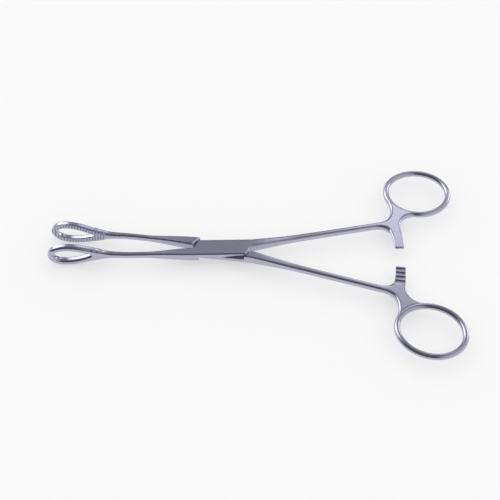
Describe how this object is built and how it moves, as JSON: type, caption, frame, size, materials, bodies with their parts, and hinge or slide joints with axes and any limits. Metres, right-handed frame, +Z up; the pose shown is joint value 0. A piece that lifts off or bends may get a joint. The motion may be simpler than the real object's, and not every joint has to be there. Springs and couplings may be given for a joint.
{
  "type": "sponge holding forceps",
  "caption": "Ring-handled sponge holding forceps with fenestrated oval serrated jaws, a riveted lap joint and a finger ratchet.",
  "frame": {"origin": "centre of the rivet on the joint's flat underside", "axes": "+X along the forceps from the jaws to the finger rings, +Z up out of the plane in which the forceps open, +Y towards the upper half's ring"},
  "size_m": [0.2011, 0.123, 0.0125],
  "materials": {
    "steel": "satin stainless steel"
  },
  "bodies": {
    "upper": {"upper_half": "steel", "pivot_rivet": "steel"},
    "lower": {"lower_half": "steel"}
  },
  "joints": [
    {"name": "pivot", "type": "hinge", "parent": "upper", "child": "lower", "pos_m": [0, 0, 0.00225], "axis": [0, 0, 1], "range_deg": [-40.9, 9.1]}
  ]
}
